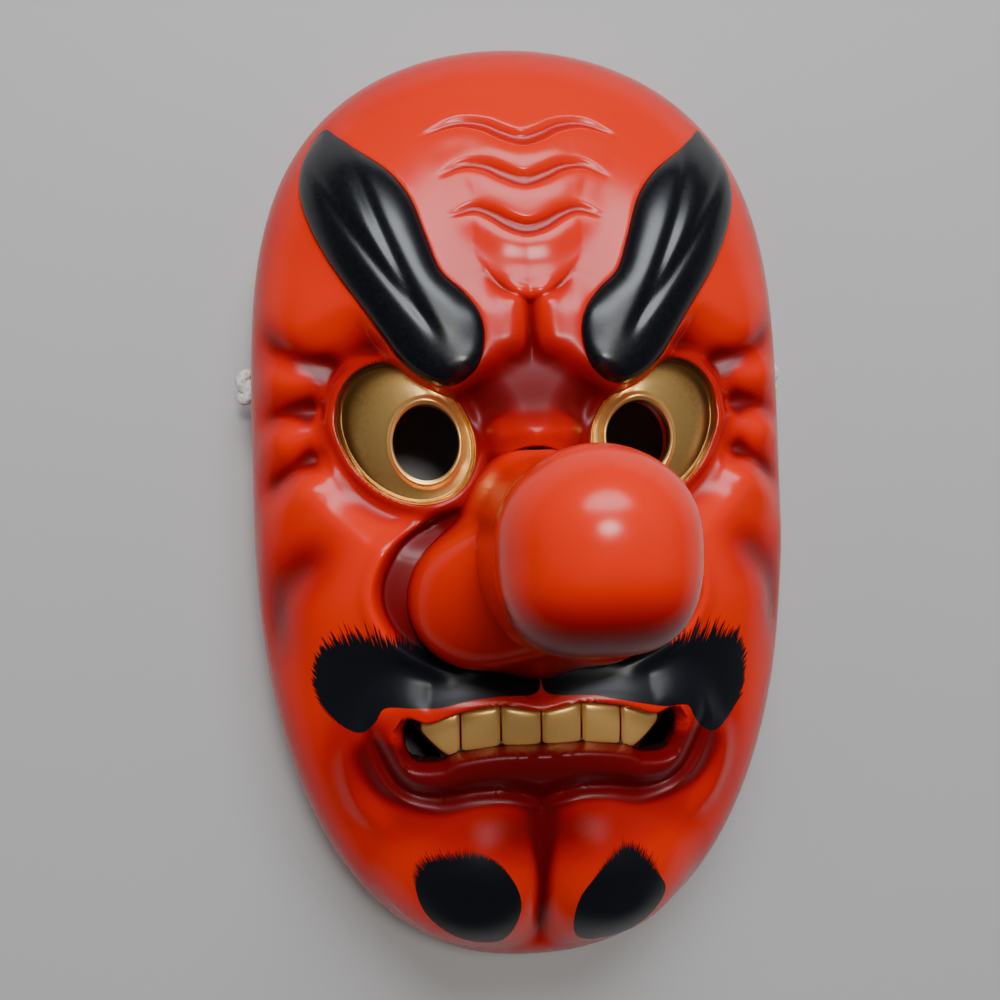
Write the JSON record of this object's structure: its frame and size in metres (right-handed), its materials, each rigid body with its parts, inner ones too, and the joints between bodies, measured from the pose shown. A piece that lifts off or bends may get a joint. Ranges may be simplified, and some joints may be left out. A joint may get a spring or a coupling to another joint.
{
  "type": "tengu mask",
  "caption": "Red moulded tengu face mask with a long straight nose, gold eyes and teeth, black brows, open pupils and a white head cord.",
  "frame": {"origin": "middle of the mask's plan on the plane of its rim", "axes": "+Z out of the face along the nose, +Y to the forehead, +X to the right of someone looking at the face"},
  "size_m": [0.177, 0.2818, 0.177],
  "materials": {
    "red_lacquer": "glossy orange-red lacquer, shaded dark crimson in the hollows",
    "brow_black": "satin black paint on the raised brows",
    "gold_paint": "metallic gold paint on the eyes and teeth",
    "white_cord": "white braided cord"
  },
  "bodies": {
    "root": {"mask_shell": "red_lacquer", "head_cord": "white_cord", "cord_knot_left": "white_cord", "cord_knot_right": "white_cord"}
  },
  "joints": []
}
